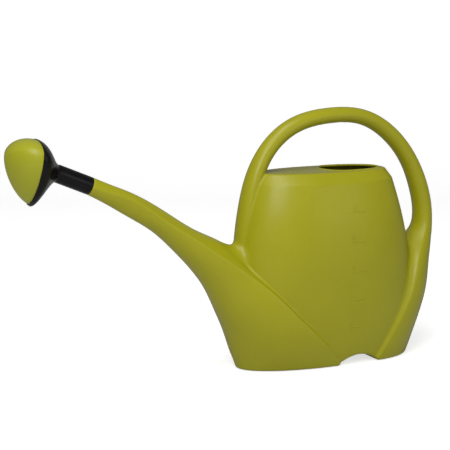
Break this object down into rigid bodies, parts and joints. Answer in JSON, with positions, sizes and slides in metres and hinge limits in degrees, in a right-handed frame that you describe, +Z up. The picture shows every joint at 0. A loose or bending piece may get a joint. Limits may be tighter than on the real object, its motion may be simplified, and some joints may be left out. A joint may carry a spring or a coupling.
{
  "type": "watering can",
  "caption": "Olive green moulded plastic watering can with a large loop handle, a long rising spout and a push-on sprinkler rose.",
  "frame": {"origin": "on the underside of the front foot, near the middle of the base and in the mirror plane of the can", "axes": "-X towards the spout and rose, +X towards the back of the loop handle, +Z up; the side with the litre marks faces -Y"},
  "size_m": [0.7045, 0.161, 0.395],
  "materials": {
    "green_plastic": "satin, fine moulded grain",
    "rose_green_plastic": "satin",
    "black_plastic": "glossy",
    "seal_rubber": "matte"
  },
  "bodies": {
    "can": {"front_foot": "green_plastic", "rear_foot": "green_plastic", "tank_wall_near": "green_plastic", "tank_wall_far": "green_plastic", "front_petal_near": "green_plastic", "front_petal_far": "green_plastic", "rear_petal_near": "green_plastic", "rear_petal_far": "green_plastic", "tank_deck": "green_plastic", "spout_lower": "green_plastic", "spout_upper": "green_plastic", "loop_handle": "green_plastic", "mark_02_l": "green_plastic", "mark_04_l": "green_plastic", "mark_06_l": "green_plastic", "mark_08_l": "green_plastic", "mark_10_l": "green_plastic"},
    "seal": {"rose_seal": "seal_rubber"},
    "rose": {"rose_shell": "black_plastic", "rose_plate": "rose_green_plastic"}
  },
  "joints": [
    {"name": "rose_pull_off", "type": "slide", "parent": "can", "child": "seal", "axis": [-0.9205, 0, 0.3907], "range_m": [0, 0.055]},
    {"name": "rose_twist", "type": "hinge", "parent": "seal", "child": "rose", "pos_m": [-0.362, 0, 0.296], "axis": [-0.9205, 0, 0.3907], "continuous": true}
  ]
}
